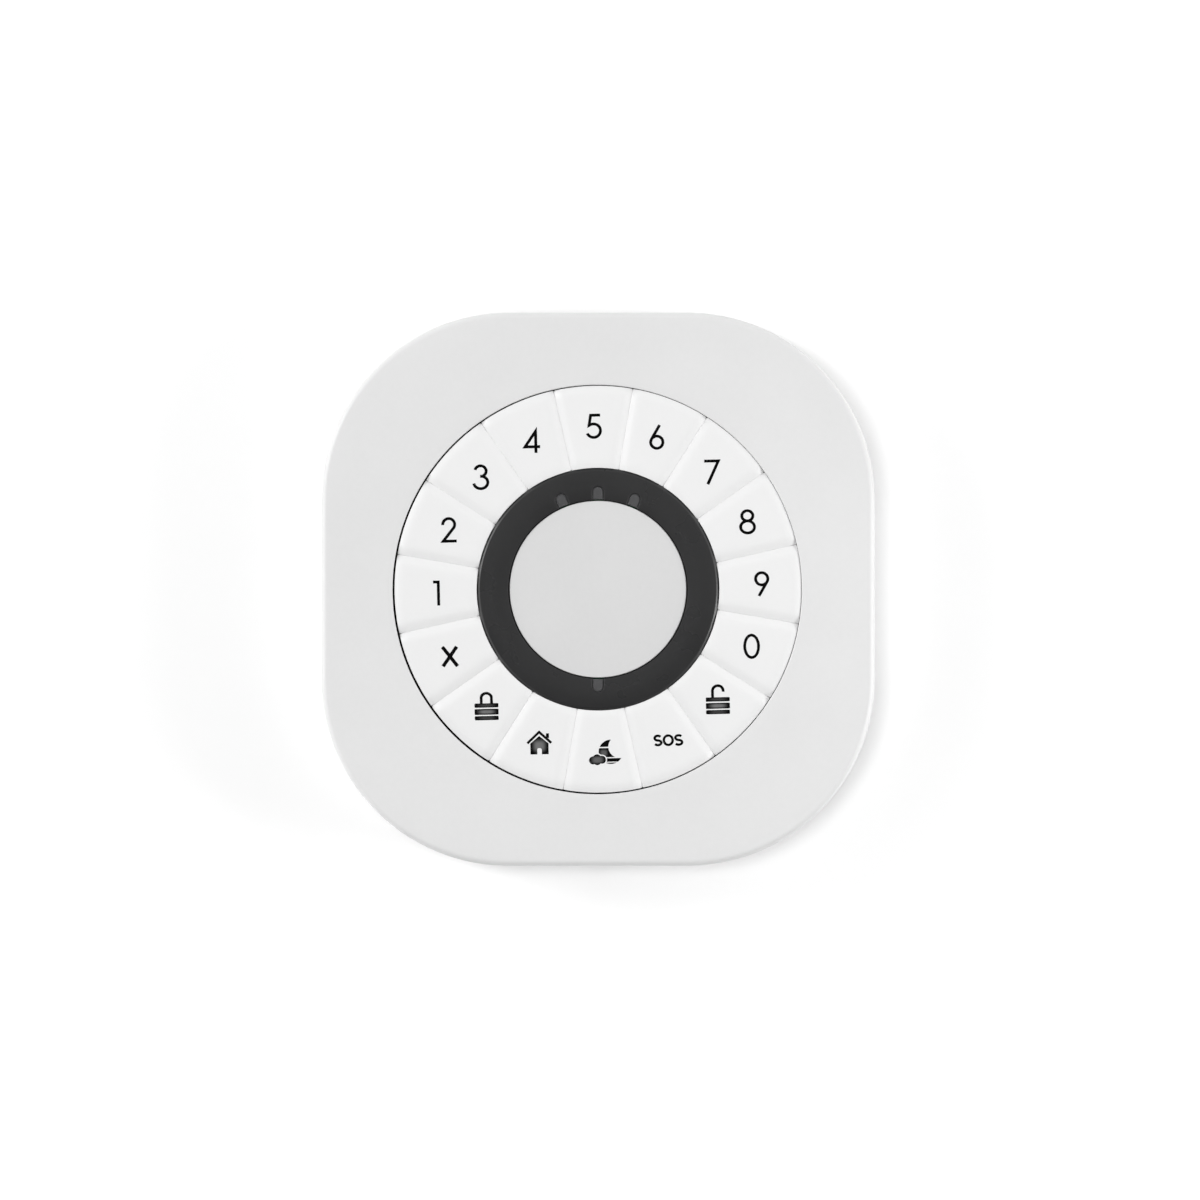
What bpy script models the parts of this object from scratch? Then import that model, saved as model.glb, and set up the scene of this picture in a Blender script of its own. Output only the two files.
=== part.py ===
"""Wall-mounted alarm keypad: a rounded square panel with sixteen keys set in a ring round a tag reader.

Every size is in millimetres and becomes metres where a mesh is made. The pieces are drawn in the panel's
own frame: x to the right, y up the wall and z out of the wall towards the user, with z = 0 on the wall.
One empty, keypad_frame, stands that frame upright, so the row frame has +Z up and the front facing -Y.
"""

import math

import bmesh
import bpy
from mathutils import Vector

MM = 0.001

# Panel outline and depth
BODY_SIDE = 125.0
BODY_CORNER_R = 42.2
FRONT_Z = 24.0
FRONT_EDGE_R = 1.5
WALL = 2.2
FRONT_WALL = 2.0
PARTING_Z = 6.2
PARTING_GAP = 0.3
CORNER_STEPS = 18

# Dial: radii of the key ring, the indicator ring and the centre cover
OPENING_R = 46.25
KEY_OUTER_R = 45.95
KEY_INNER_R = 27.65
RING_OUTER_R = 27.35
RING_INNER_R = 19.95
COVER_R = 19.75
DIAL_STEPS = 72

# Keys, counter-clockwise from the key at the top of the dial, which stands a little left of the middle
KEY_NAMES = (
    "key_5", "key_4", "key_3", "key_2", "key_1", "key_cancel", "key_arm_away", "key_arm_home",
    "key_arm_night", "key_sos", "key_disarm", "key_0", "key_9", "key_8", "key_7", "key_6",
)
TOP_ANGLE = math.radians(91.4)
KEY_PITCH = 2 * math.pi / len(KEY_NAMES)
KEY_GAP = 0.3
KEY_MIDDLE_R = (KEY_OUTER_R + KEY_INNER_R) / 2
KEY_BOTTOM_Z = 21.0
KEY_TOP_Z = 24.6
KEY_EDGE_R = 0.9
KEY_WALL = 1.3
KEY_ROOF = 1.6
KEY_FLANGE = 0.7
KEY_FLANGE_REACH = 1.2
KEY_BOSS_R = 2.4

# Rear housing, bracket and the way the panel hangs on it
REAR_SIDE = 123.6
REAR_BACK_Z = 0.4
REAR_FLOOR_Z = 2.4
REAR_FLOOR = 2.0
REAR_CAVITY_Z = REAR_FLOOR_Z + REAR_FLOOR
REAR_EDGE_R = 1.0
RECESS_SIDE = 112.0
RECESS_CORNER_R = 36.0
LIP_TOP_Z = 9.0
LIFT_OFF = 6.0
BRACKET = 2.0
BRACKET_HALF_WIDTH = 52.0
BRACKET_BOTTOM_Y = -49.5
BRACKET_TOP_Y = 53.0
HOOK_X = 38.0
HOOK_YS = (22.0, -22.0)
HOOK_HALF_WIDTH = 5.0
HOOK_THICK = 2.0
HOOK_REACH = 4.0
HOOK_GAP = 0.6
HOOK_LIP_Z = 4.8
HOOK_TOP_Z = 6.2
LOCK_SCREW_Z = 3.3
EAR_Y = (-49.0, -46.6)
EAR_HALF_WIDTH = 5.4

# Housing screws and the bosses they bite into
SCREW_AT = 39.5
SCREW_R = 1.05
SCREW_HEAD_R = 2.9
BOSS_R = 3.2
BOSS_BOTTOM_Z = 6.7

# Board and everything between it and the keys
BOARD_R = 51.5
BOARD_Z = (17.2, 18.8)
BOARD_POST_R = 2.2
BOARD_POST_ANGLES = (90.0, 195.0, 345.0)
BOARD_POST_AT_R = 46.0
MEMBRANE_Z = (18.95, 19.65)
DOME_TOP_Z = 20.7
HUB_R = 25.6
HUB_Z = (19.0, 20.0)
HUB_RIM_Z = 21.9
HUB_SCREW_AT_R = 13.0
HUB_SCREW_ANGLES = (90.0, 210.0, 330.0)
RING_Z = (22.2, 24.5)
COVER_Z = (22.6, 24.2)
COVER_SKIRT_Z = 20.3
WINDOW_ANGLES = {"top": 90.0, "left": 112.5, "right": 67.5, "bottom": 270.0}
WINDOW_WIDTH = 2.3
WINDOW_REACH_R = 23.0
PIPE_GAP = 0.12

# Batteries lie along x, one above the other
CELL_R = 5.2
CELL_LENGTH = 43.3
CELL_NUB = 1.2
CELL_NUB_R = 1.9
CELL_PITCH = 11.2
CELL_MIDDLE_Y = -26.2
CELL_Z = 10.1
BAY_HALF_LENGTH = 24.9
BAY_HALF_HEIGHT = 12.2
BAY_WALL = 1.6
BAY_ROOF_Z = (15.7, 16.8)
CONTACT_X = (24.2, 24.6)
LEDGE_Z = 3.7
LATCH_HALF_WIDTH = 5.0
LATCH_REACH = 2.6

# Tamper plunger
TAMPER_X = 38.0
PLUNGER_R = 2.0
PLUNGER_COLLAR_Z = (8.0, 9.0)

PARTS = "alarm_keypad"
TOOLS = "cutters"


def clear_scene():
    for obj in list(bpy.data.objects):
        bpy.data.objects.remove(obj)


def new_collection(name):
    collection = bpy.data.collections.new(name)
    bpy.context.scene.collection.children.link(collection)
    return collection


# Outlines: lists of (x, y), counter-clockwise


def arc(radius, start, end, steps, centre=(0.0, 0.0)):
    """Points from angle start to angle end, both included."""
    points = []
    for step in range(steps + 1):
        angle = start + (end - start) * step / steps
        points.append((centre[0] + radius * math.cos(angle), centre[1] + radius * math.sin(angle)))
    return points


def circle(radius, steps, centre=(0.0, 0.0)):
    return arc(radius, 0.0, 2 * math.pi, steps, centre)[:-1]


def rounded_box(left, right, bottom, top, radius, steps=4):
    points = []
    corners = (
        (right - radius, top - radius),
        (left + radius, top - radius),
        (left + radius, bottom + radius),
        (right - radius, bottom + radius),
    )
    for number, centre in enumerate(corners):
        start = number * math.pi / 2
        points += arc(radius, start, start + math.pi / 2, steps, centre)
    return points


def box(left, right, bottom, top):
    return [(left, bottom), (right, bottom), (right, top), (left, top)]


def rounded_square(side, radius, steps=CORNER_STEPS):
    return rounded_box(-side / 2, side / 2, -side / 2, side / 2, radius, steps)


def key_outline(inner, outer, gap, steps=(4, 6)):
    """One key's sector about +x, its origin on the key's middle. Its sides keep gap / 2 off the pitch lines."""
    half = KEY_PITCH / 2
    inner_half = half - math.asin(gap / 2 / inner)
    outer_half = half - math.asin(gap / 2 / outer)
    points = arc(outer, -outer_half, outer_half, steps[1])
    points += arc(inner, inner_half, -inner_half, steps[0])
    return [(x - KEY_MIDDLE_R, y) for x, y in points]


def window_outline(clearance):
    """The slot of one indicator: it opens on the ring's inner edge and ends in a half circle."""
    half = WINDOW_WIDTH / 2 - clearance
    centre = (WINDOW_REACH_R - WINDOW_WIDTH / 2, 0.0)
    start_x = RING_INNER_R + 0.1 if clearance else RING_INNER_R - 1.0
    return [(start_x, -half)] + arc(half, -math.pi / 2, math.pi / 2, 6, centre) + [(start_x, half)]


def polar(radius, degrees):
    angle = math.radians(degrees)
    return radius * math.cos(angle), radius * math.sin(angle)


# Solids


def add_object(name, data, group=PARTS):
    obj = bpy.data.objects.new(name, data)
    bpy.data.collections[group].objects.link(obj)
    obj.parent = bpy.data.objects["keypad_frame"]
    if group == TOOLS:
        obj.hide_render = True
        obj.display_type = "WIRE"
    return obj


def add_prism(bm, outline, bottom, top):
    """A circle with one cap, its points moved onto the outline, extruded from bottom to top."""
    made = bmesh.ops.create_circle(bm, cap_ends=True, segments=len(outline), radius=1.0)
    corners = made["verts"]
    for corner, (x, y) in zip(corners, outline):
        corner.co = Vector((x, y, bottom)) * MM
    cap = next(iter(set(corners[0].link_faces)))
    extruded = bmesh.ops.extrude_face_region(bm, geom=[cap])
    raised = [item for item in extruded["geom"] if isinstance(item, bmesh.types.BMVert)]
    bmesh.ops.translate(bm, verts=raised, vec=(0.0, 0.0, (top - bottom) * MM))


def prisms(name, items, group=PARTS):
    """One object from (outline, bottom, top) items. Items of one object never overlap."""
    bm = bmesh.new()
    for outline, bottom, top in items:
        add_prism(bm, outline, bottom, top)
    bmesh.ops.recalc_face_normals(bm, faces=bm.faces)
    mesh = bpy.data.meshes.new(name)
    bm.to_mesh(mesh)
    bm.free()
    return add_object(name, mesh, group)


def prism(name, outline, bottom, top, group=PARTS):
    return prisms(name, [(outline, bottom, top)], group)


def cones(name, places, low, high, low_r, high_r, steps, group=TOOLS):
    """Upright cones or cylinders at (x, y) places, from z = low to z = high."""
    bm = bmesh.new()
    for x, y in places:
        made = bmesh.ops.create_cone(
            bm,
            cap_ends=True,
            segments=steps,
            radius1=low_r * MM,
            radius2=high_r * MM,
            depth=(high - low) * MM,
        )
        bmesh.ops.translate(bm, verts=made["verts"], vec=Vector((x, y, (low + high) / 2)) * MM)
    mesh = bpy.data.meshes.new(name)
    bm.to_mesh(mesh)
    bm.free()
    return add_object(name, mesh, group)


def cylinders(name, places, radius, low, high, steps=20, group=TOOLS):
    return cones(name, places, low, high, radius, radius, steps, group)


def turned(name, profile, steps, closed=True, group=PARTS):
    """A profile of (radius, z), drawn down its outer side, turned about z."""
    bm = bmesh.new()
    line = [bm.verts.new(Vector((radius, 0.0, z)) * MM) for radius, z in profile]
    for start, end in zip(line, line[1:]):
        bm.edges.new((start, end))
    if closed:
        bm.edges.new((line[-1], line[0]))
    mesh = bpy.data.meshes.new(name)
    bm.to_mesh(mesh)
    bm.free()
    obj = add_object(name, mesh, group)
    screw = obj.modifiers.new("turn", "SCREW")
    screw.steps = steps
    screw.render_steps = steps
    screw.merge_threshold = 0.000001
    screw.use_merge_vertices = True
    return obj


def wire(name, points, radius, group=PARTS):
    """A round wire through points, its ends capped."""
    curve = bpy.data.curves.new(name, "CURVE")
    curve.dimensions = "3D"
    curve.bevel_depth = radius * MM
    curve.bevel_resolution = 1
    curve.use_fill_caps = True
    spline = curve.splines.new("POLY")
    spline.points.add(len(points) - 1)
    for point, place in zip(spline.points, points):
        point.co = (*(Vector(place) * MM), 1.0)
    return add_object(name, curve, group)


def helix(radius_from, radius_to, low, high, turns, steps_per_turn=10):
    """Points of a coil about z, its radius changing evenly with height."""
    count = int(turns * steps_per_turn)
    points = []
    for step in range(count + 1):
        share = step / count
        radius = radius_from + (radius_to - radius_from) * share
        angle = 2 * math.pi * turns * share
        z = low + (high - low) * share
        points.append((radius * math.cos(angle), radius * math.sin(angle), z))
    return points


def combine(target, tool, operation):
    modifier = target.modifiers.new(f"{operation.lower()} {tool.name}", "BOOLEAN")
    modifier.operation = operation
    modifier.object = tool


def cut(target, *tools):
    for tool in tools:
        combine(target, tool, "DIFFERENCE")


def join(target, *tools):
    for tool in tools:
        combine(target, tool, "UNION")


def bevel_level_edges(obj, z, width, segments):
    """Rounds the edges that lie on one z level, as an outline's rim does."""
    mesh = obj.data
    weights = mesh.attributes.new("bevel_weight_edge", "FLOAT", "EDGE")
    for edge in mesh.edges:
        level = all(abs(mesh.vertices[corner].co.z - z * MM) < 1e-7 for corner in edge.vertices)
        weights.data[edge.index].value = 1.0 if level else 0.0
    modifier = obj.modifiers.new("rounded rim", "BEVEL")
    modifier.limit_method = "WEIGHT"
    modifier.width = width * MM
    modifier.segments = segments
    modifier.use_clamp_overlap = False


def freeze(obj):
    """The mesh that an object's modifiers make, welded, for pieces that share it. The object is removed."""
    graph = bpy.context.evaluated_depsgraph_get()
    mesh = bpy.data.meshes.new_from_object(obj.evaluated_get(graph))
    mesh.name = obj.name
    bm = bmesh.new()
    bm.from_mesh(mesh)
    bmesh.ops.remove_doubles(bm, verts=bm.verts, dist=1e-7)
    bm.to_mesh(mesh)
    bm.free()
    bpy.data.objects.remove(obj)
    return mesh


def place(obj, x, y, z=0.0, turn=0.0):
    obj.location = Vector((x, y, z)) * MM
    obj.rotation_euler = (0.0, 0.0, turn)


def material(name, colour, roughness, metallic=0.0):
    made = bpy.data.materials.new(name)
    made.use_nodes = True
    shader = made.node_tree.nodes["Principled BSDF"]
    shader.inputs["Base Color"].default_value = (*colour, 1.0)
    shader.inputs["Roughness"].default_value = roughness
    shader.inputs["Metallic"].default_value = metallic
    return made


def paint(materials):
    """Gives every part its material. The first name that starts a part's name decides."""
    for obj in bpy.data.collections[PARTS].objects:
        key = next(prefix for prefix in materials if obj.name.startswith(prefix))
        obj.data.materials.clear()
        obj.data.materials.append(materials[key])
        if obj.type == "MESH":
            obj.data.shade_smooth()
            obj.data.set_sharp_from_angle(angle=math.radians(35))


# Pieces


def corner_places(distance):
    return [(x, y) for x in (-distance, distance) for y in (-distance, distance)]


def make_front_housing():
    """The white front shell: a rounded square cup with the round opening that the keys fill."""
    bottom = PARTING_Z + PARTING_GAP
    shell = prism("front_housing", rounded_square(BODY_SIDE, BODY_CORNER_R), bottom, FRONT_Z)
    bevel_level_edges(shell, FRONT_Z, FRONT_EDGE_R, 3)
    inside = rounded_square(BODY_SIDE - 2 * WALL, BODY_CORNER_R - WALL)
    cavity = prism("front_cavity", inside, bottom - 2.0, FRONT_Z - FRONT_WALL, TOOLS)
    opening = cylinders("dial_opening", [(0, 0)], OPENING_R, FRONT_Z - 5, FRONT_Z + 5, DIAL_STEPS)
    under_wall = FRONT_Z - FRONT_WALL + 0.4
    bosses = cylinders("front_bosses", corner_places(SCREW_AT), BOSS_R, BOSS_BOTTOM_Z, under_wall, 16)
    collar_profile = ((49.6, under_wall), (51.2, under_wall), (51.2, 19.2), (49.6, 19.2))
    collar = turned("board_collar", collar_profile, 40, group=TOOLS)
    holes = cylinders("boss_holes", corner_places(SCREW_AT), 1.25, BOSS_BOTTOM_Z - 2, 16.0, 10)
    cut(shell, cavity, opening)
    join(shell, bosses, collar)
    cut(shell, holes)


def make_rear_housing():
    """The rear tray: it carries the battery bay, the hook slots and the recess that hides the bracket."""
    rear_corner = BODY_CORNER_R - (BODY_SIDE - REAR_SIDE) / 2
    tray = prism("rear_housing", rounded_square(REAR_SIDE, rear_corner), REAR_BACK_Z, PARTING_Z)
    bevel_level_edges(tray, REAR_BACK_Z, REAR_EDGE_R, 2)

    lip_side = BODY_SIDE - 2 * WALL - 0.8
    lip_corner = BODY_CORNER_R - WALL - 0.4
    lip = prism("rear_lip", rounded_square(lip_side, lip_corner), PARTING_Z - 1.0, LIP_TOP_Z, TOOLS)
    inside = rounded_square(lip_side - 3.2, lip_corner - 1.6)
    cavity = prism("rear_cavity", inside, REAR_CAVITY_Z, LIP_TOP_Z + 3.0, TOOLS)
    recess = rounded_square(RECESS_SIDE, RECESS_CORNER_R)
    bracket_recess = prism("bracket_recess", recess, REAR_BACK_Z - 2.0, REAR_FLOOR_Z, TOOLS)
    join(tray, lip)
    cut(tray, cavity, bracket_recess)

    bay_low = CELL_MIDDLE_Y - BAY_HALF_HEIGHT
    bay_high = CELL_MIDDLE_Y + BAY_HALF_HEIGHT
    bay_inside = box(-BAY_HALF_LENGTH, BAY_HALF_LENGTH, bay_low, bay_high)
    outer = BAY_HALF_LENGTH + BAY_WALL
    bay_outside = box(-outer, outer, bay_low - BAY_WALL, bay_high + BAY_WALL)
    bay = prism("bay_walls", bay_outside, REAR_CAVITY_Z - 0.3, BAY_ROOF_Z[1], TOOLS)
    hollow = prism("bay_hollow", bay_inside, REAR_BACK_Z - 2.0, BAY_ROOF_Z[0], TOOLS)
    seat = prism("cover_seat", cover_outline(0.3), REAR_BACK_Z - 2.0, LEDGE_Z, TOOLS)
    join(tray, bay)
    cut(tray, hollow, seat)

    posts = [polar(BOARD_POST_AT_R, degrees) for degrees in BOARD_POST_ANGLES]
    board_posts = cylinders("board_posts", posts, BOARD_POST_R, REAR_CAVITY_Z - 0.5, BOARD_Z[0] - 0.2, 10)
    pillars = cylinders(
        "screw_pillars", corner_places(SCREW_AT), 4.2, REAR_CAVITY_Z - 0.5, BOSS_BOTTOM_Z - 0.3, 16
    )
    tube = cylinders("tamper_guide", [(TAMPER_X, 0.0)], 3.9, REAR_CAVITY_Z - 0.5, 5.3, 16)
    join(tray, board_posts, pillars, tube)

    shanks = cylinders("screw_holes", corner_places(SCREW_AT), 1.6, REAR_BACK_Z, BOSS_BOTTOM_Z + 2, 12)
    heads = cylinders("head_wells", corner_places(SCREW_AT), SCREW_HEAD_R + 0.4, REAR_BACK_Z, 4.6, 16)
    tamper_hole = cylinders("tamper_hole", [(TAMPER_X, 0.0)], PLUNGER_R + 0.3, REAR_BACK_Z, 7.0, 16)
    cut(tray, shanks, heads, tamper_hole)

    slots = []
    for x in (-HOOK_X, HOOK_X):
        for y in HOOK_YS:
            low = y - HOOK_THICK / 2 - LIFT_OFF - HOOK_GAP
            high = y + HOOK_THICK / 2 + HOOK_GAP
            half = HOOK_HALF_WIDTH + HOOK_GAP
            slots.append((box(x - half, x + half, low, high), REAR_BACK_Z, REAR_CAVITY_Z + 1.5))
    ear_half = EAR_HALF_WIDTH + 0.8
    slots.append((box(-ear_half, ear_half, -55.6, -45.5), REAR_BACK_Z, REAR_CAVITY_Z + 1.5))
    cut(tray, prisms("hook_slots", slots, TOOLS))

    edge = -REAR_SIDE / 2
    screw_path = cylinders("lock_screw_hole", [(0.0, LOCK_SCREW_Z)], 1.5, -edge - 7.0, -edge + 2.0, 12)
    head_well = cylinders("lock_head_well", [(0.0, LOCK_SCREW_Z)], 2.3, -edge - 1.9, -edge + 2.0, 16)
    for tool in (screw_path, head_well):
        tool.rotation_euler = (math.pi / 2, 0.0, 0.0)
        cut(tray, tool)


def cover_outline(grow):
    """The battery cover with its latch tab, or with grow the seat it drops into."""
    half = BAY_HALF_LENGTH + 2.2 + grow
    low = CELL_MIDDLE_Y - BAY_HALF_HEIGHT - 2.2 - grow
    high = CELL_MIDDLE_Y + BAY_HALF_HEIGHT + 2.2 + grow
    latch_half = LATCH_HALF_WIDTH + grow
    latch_low = low - LATCH_REACH
    return [
        (half, low), (half, high), (-half, high), (-half, low),
        (-latch_half, low), (-latch_half, latch_low), (latch_half, latch_low), (latch_half, low),
    ]


def make_battery_cover():
    """A flat door: a plate that rests on the ledge and a rim that drops into the bay."""
    plate = prism("battery_cover", cover_outline(0.0), REAR_FLOOR_Z + 0.1, LEDGE_Z - 0.2)
    half = BAY_HALF_LENGTH - 0.4
    low = CELL_MIDDLE_Y - BAY_HALF_HEIGHT + 0.4
    high = CELL_MIDDLE_Y + BAY_HALF_HEIGHT - 0.4
    rim = prism("cover_rim", box(-half, half, low, high), LEDGE_Z - 0.6, REAR_CAVITY_Z, TOOLS)
    inside = box(-half + 1.2, half - 1.2, low + 1.2, high - 1.2)
    hollow = prism("cover_hollow", inside, LEDGE_Z - 0.2, REAR_CAVITY_Z + 1.0, TOOLS)
    groove_y = low - 1.6
    grip = [(box(-6.0 + 3 * n, -4.8 + 3 * n, groove_y, groove_y + 6.0), 2.0, 2.9) for n in range(4)]
    join(plate, rim)
    cut(plate, hollow, prisms("grip_grooves", grip, TOOLS))


def make_wall_bracket():
    """The plate that is screwed to the wall, with four hooks and the ear of the locking screw."""
    outline = rounded_box(
        -BRACKET_HALF_WIDTH, BRACKET_HALF_WIDTH, BRACKET_BOTTOM_Y, BRACKET_TOP_Y, 30.0, 14
    )
    plate = prism("wall_bracket", outline, 0.0, BRACKET)
    window = prism("bracket_window", rounded_box(-29.0, 29.0, -44.5, -5.0, 3.0, 3), -2.0, 4.0, TOOLS)
    slots = [
        (rounded_box(TAMPER_X - 3.0, TAMPER_X + 3.0, -3.0, LIFT_OFF + 3.0, 2.0, 3), -2.0, 4.0),
        (rounded_box(-42.0, -34.0, -2.4, 2.4, 2.3, 4), -2.0, 4.0),
        (rounded_box(-2.4, 2.4, 34.0, 42.0, 2.3, 4), -2.0, 4.0),
        (rounded_box(-12.0, 12.0, 12.0, 24.0, 3.0, 3), -2.0, 4.0),
    ]
    cut(plate, window, prisms("bracket_slots", slots, TOOLS))

    stems = []
    lips = []
    for x in (-HOOK_X, HOOK_X):
        for y in HOOK_YS:
            left = x - HOOK_HALF_WIDTH
            right = x + HOOK_HALF_WIDTH
            low = y - HOOK_THICK / 2
            high = y + HOOK_THICK / 2
            stems.append((box(left, right, low, high), BRACKET - 0.5, HOOK_TOP_Z))
            lips.append((box(left, right, low + 0.4, high + HOOK_REACH), HOOK_LIP_Z, HOOK_TOP_Z - 0.15))
    ear = (box(-EAR_HALF_WIDTH, EAR_HALF_WIDTH, *EAR_Y), BRACKET - 0.5, 5.9)
    join(plate, prisms("hook_stems", stems + [ear], TOOLS), prisms("hook_lips", lips, TOOLS))
    hole = cylinders("ear_hole", [(0.0, LOCK_SCREW_Z)], 1.4, 44.0, 52.0, 12)
    hole.rotation_euler = (math.pi / 2, 0.0, 0.0)
    cut(plate, hole)


def make_keys():
    """Sixteen keys that share one mesh: a hollow sector with a flange that holds it under its neighbours."""
    body = key_outline(KEY_INNER_R, KEY_OUTER_R, KEY_GAP)
    cap = prism("key_cap", body, KEY_BOTTOM_Z + 0.35, KEY_TOP_Z)
    bevel_level_edges(cap, KEY_TOP_Z, KEY_EDGE_R, 2)
    flange_outline = key_outline(
        KEY_INNER_R - KEY_FLANGE_REACH, KEY_OUTER_R + KEY_FLANGE_REACH, KEY_GAP + 0.3, (3, 4)
    )
    flange = prism("key_flange", flange_outline, KEY_BOTTOM_Z, KEY_BOTTOM_Z + KEY_FLANGE, TOOLS)
    hollow_outline = key_outline(
        KEY_INNER_R + KEY_WALL, KEY_OUTER_R - KEY_WALL, KEY_GAP + 2 * KEY_WALL, (2, 3)
    )
    hollow = prism("key_hollow", hollow_outline, KEY_BOTTOM_Z - 1.0, KEY_TOP_Z - KEY_ROOF, TOOLS)
    boss = cylinders("key_boss", [(0.0, 0.0)], KEY_BOSS_R, KEY_BOTTOM_Z, KEY_TOP_Z - 1.0, 8)
    join(cap, flange)
    cut(cap, hollow)
    join(cap, boss)
    mesh = freeze(cap)
    for number, name in enumerate(KEY_NAMES):
        angle = TOP_ANGLE + number * KEY_PITCH
        key = add_object(name, mesh)
        place(key, KEY_MIDDLE_R * math.cos(angle), KEY_MIDDLE_R * math.sin(angle), 0.0, angle)


def make_key_membrane():
    """The silicone sheet under the keys, with one hollow dome for each key."""
    low, high = MEMBRANE_Z
    sheet = turned("key_membrane", ((26.2, high), (48.8, high), (48.8, low), (26.2, low)), 48)
    places = []
    for number in range(len(KEY_NAMES)):
        angle = TOP_ANGLE + number * KEY_PITCH
        places.append((KEY_MIDDLE_R * math.cos(angle), KEY_MIDDLE_R * math.sin(angle)))
    domes = cones("membrane_domes", places, high - 0.3, DOME_TOP_Z, 4.4, 2.6, 8)
    hollows = cones("dome_hollows", places, low - 0.5, DOME_TOP_Z - 0.5, 4.3, 2.0, 8)
    join(sheet, domes)
    cut(sheet, hollows)


def make_hub():
    """The middle of the dial: the frame, the smoked ring, the reader's cover and its coil."""
    floor_low, floor_high = HUB_Z
    frame_profile = (
        (23.9, HUB_RIM_Z), (HUB_R, HUB_RIM_Z), (HUB_R, floor_low),
        (8.0, floor_low), (8.0, floor_high), (23.9, floor_high),
    )
    frame = turned("hub_frame", frame_profile, 32)
    frame_holes = []
    for degrees in WINDOW_ANGLES.values():
        frame_holes.append(rotated(box(19.2, 23.6, -1.9, 1.9), degrees))
    cut(frame, prisms("pipe_holes", [(hole, 18.0, 21.0) for hole in frame_holes], TOOLS))
    places = [polar(HUB_SCREW_AT_R, degrees) for degrees in HUB_SCREW_ANGLES]
    join(frame, cylinders("hub_bosses", places, 2.3, floor_low + 0.2, 21.6, 12))
    cut(frame, cylinders("hub_boss_holes", places, 1.0, floor_low - 1.0, 21.0, 8))

    low, high = RING_Z
    edge = 0.4
    ring_profile = (
        (RING_INNER_R, high - edge), (RING_INNER_R + edge, high),
        (RING_OUTER_R - edge, high), (RING_OUTER_R, high - edge),
        (RING_OUTER_R, low), (RING_INNER_R, low),
    )
    ring = turned("indicator_ring", ring_profile, DIAL_STEPS)
    slots = [(rotated(window_outline(0.0), degrees), low - 1, high + 1) for degrees in WINDOW_ANGLES.values()]
    cut(ring, prisms("window_slots", slots, TOOLS))

    low, high = COVER_Z
    cover_profile = (
        (0.0, high), (COVER_R - 0.3, high), (COVER_R, high - 0.3), (COVER_R, COVER_SKIRT_Z),
        (COVER_R - 1.2, COVER_SKIRT_Z), (COVER_R - 1.2, low), (0.0, low),
    )
    turned("reader_cover", cover_profile, 48, closed=False)
    turned("reader_coil", ((16.6, 20.9), (18.2, 20.9), (18.2, 20.2), (16.6, 20.2)), 32)


def rotated(outline, degrees):
    angle = math.radians(degrees)
    cosine, sine = math.cos(angle), math.sin(angle)
    return [(x * cosine - y * sine, x * sine + y * cosine) for x, y in outline]


def make_indicators():
    """Four light pipes that end flush with the ring, each over its own LED."""
    pipe = freeze(prism("light_pipe", window_outline(PIPE_GAP), 19.9, RING_Z[1] - 0.05))
    lamp = freeze(prism("led", box(20.4, 22.4, -0.8, 0.8), BOARD_Z[1] + 0.05, 19.6))
    for side, degrees in WINDOW_ANGLES.items():
        place(add_object(f"light_pipe_{side}", pipe), 0.0, 0.0, 0.0, math.radians(degrees))
        place(add_object(f"led_{side}", lamp), 0.0, 0.0, 0.0, math.radians(degrees))


def make_main_board():
    """The round circuit board and what is soldered to its back."""
    low, high = BOARD_Z
    board = prism("main_board", circle(BOARD_R, 48), low, high)
    places = [polar(HUB_SCREW_AT_R, degrees) for degrees in HUB_SCREW_ANGLES]
    cut(board, cylinders("board_holes", places, 1.3, low - 1.0, high + 1.0, 10))

    under = low - 0.1
    prism("radio_module", rounded_box(12.0, 26.0, 14.0, 32.0, 0.6, 2), under - 2.4, under)
    prism("controller_chip", box(-9.0, 1.0, 20.0, 30.0), under - 1.2, under)
    buzzer = prism("buzzer", circle(7.0, 32, (-30.0, 20.0)), under - 6.0, under)
    cut(buzzer, cylinders("buzzer_vent", [(-30.0, 20.0)], 1.4, under - 7.0, under - 4.0, 12))
    end = polar(BOARD_POST_AT_R, 52.0)
    aerial = [(*end, under), (*end, under - 1.6)]
    aerial += [(*polar(BOARD_POST_AT_R, 52.0 + 5.0 * step), under - 1.6) for step in range(1, 7)]
    wire("antenna", aerial, 0.45)


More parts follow.
